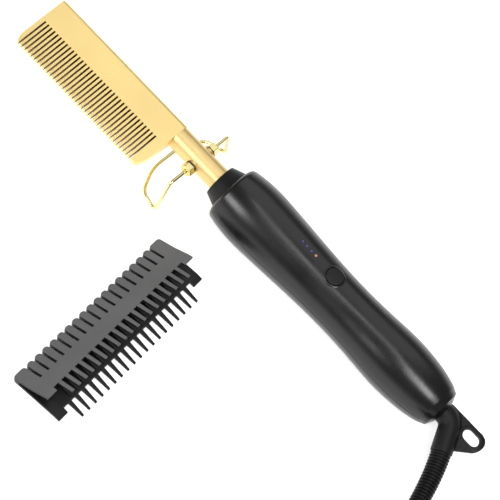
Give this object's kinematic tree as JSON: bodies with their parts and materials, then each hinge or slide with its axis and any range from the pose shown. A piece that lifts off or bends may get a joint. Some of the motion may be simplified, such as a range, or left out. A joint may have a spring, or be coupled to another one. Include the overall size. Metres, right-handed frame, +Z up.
{
  "type": "hair straightening brush",
  "caption": "Electric straightening comb: gold metal comb on a shank with a fold-out wire stand, black handle with a push button, swivel cord boot, coiled cord and a loose comb guard",
  "frame": {"origin": "On the floor, under the middle of the box round the tool and its guard, without the cord", "axes": "+X along the tool from the comb's tip to the cord, +Y away from the comb's teeth, +Z up"},
  "size_m": [0.425, 0.1777, 0.0387],
  "materials": {
    "comb_metal": "satin gold coating",
    "heater_steel": "plain",
    "ceramic": "unglazed",
    "fuse_body": "plain",
    "lead_insulation": "plain",
    "sensor_insulation": "plain",
    "shank_brass": "polished gold",
    "dark_washer": "matte",
    "bush_brass": "polished gold",
    "collar_plastic": "matte",
    "handle_plastic": "soft satin",
    "screw_steel": "plain",
    "board_laminate": "lacquered",
    "component_body": "plain",
    "led_package": "plain",
    "led_lens": "clear",
    "switch_body": "plain",
    "block_plastic": "plain",
    "contact_brass": "plain",
    "button_plastic": "satin",
    "stand_brass": "bright gold",
    "boot_rubber": "matte",
    "cord_jacket": "matte",
    "tie_plastic": "matte",
    "plug_rubber": "matte",
    "guard_plastic": "matte"
  },
  "bodies": {
    "tool": {"comb_head": "comb_metal", "heater_cartridge": "heater_steel", "temperature_sensor": "ceramic", "thermal_fuse": "fuse_body", "heater_leads": "lead_insulation", "sensor_leads": "sensor_insulation", "shank_tube": "shank_brass", "shank_retainer": "heater_steel", "pivot_washers": "dark_washer", "pivot_bushes": "bush_brass", "heat_collar": "collar_plastic", "handle_top_shell": "handle_plastic", "handle_bottom_shell": "handle_plastic", "case_screws": "screw_steel", "control_board": "board_laminate", "board_components": "component_body", "led_indicators": "led_package", "led_lenses": "led_lens", "tact_switch": "switch_body", "mains_leads": "lead_insulation", "contact_block": "block_plastic", "contact_blades": "contact_brass"},
    "button": {"power_button": "button_plastic", "switch_plunger": "switch_body"},
    "stand": {"stand_wire": "stand_brass"},
    "swivel": {"swivel_core": "block_plastic", "slip_rings": "contact_brass", "cord_boot": "boot_rubber", "strain_relief": "boot_rubber", "power_cord": "cord_jacket", "cord_coil": "cord_jacket", "cord_tie": "tie_plastic", "plug_body": "plug_rubber", "plug_pins": "contact_brass"},
    "guard": {"comb_guard": "guard_plastic"}
  },
  "joints": [
    {"name": "stand_fold", "type": "hinge", "parent": "tool", "child": "stand", "pos_m": [-0.04818, 0.06072, 0.022], "axis": [0, -1, 0], "range_deg": [0, 88]},
    {"name": "button_press", "type": "slide", "parent": "tool", "child": "button", "axis": [-0.0364, 0, -0.9993], "range_m": [0, 0.0005], "stiffness_N_per_m": 800, "springref_m": -0.0005},
    {"name": "cord_swivel", "type": "hinge", "parent": "tool", "child": "swivel", "pos_m": [0.1231, 0.06072, 0.01576], "axis": [0.9993, 0, -0.0364], "continuous": true},
    {"name": "guard_lift", "type": "slide", "parent": "tool", "child": "guard", "axis": [0, 0, 1], "range_m": [0, 0.12]}
  ]
}
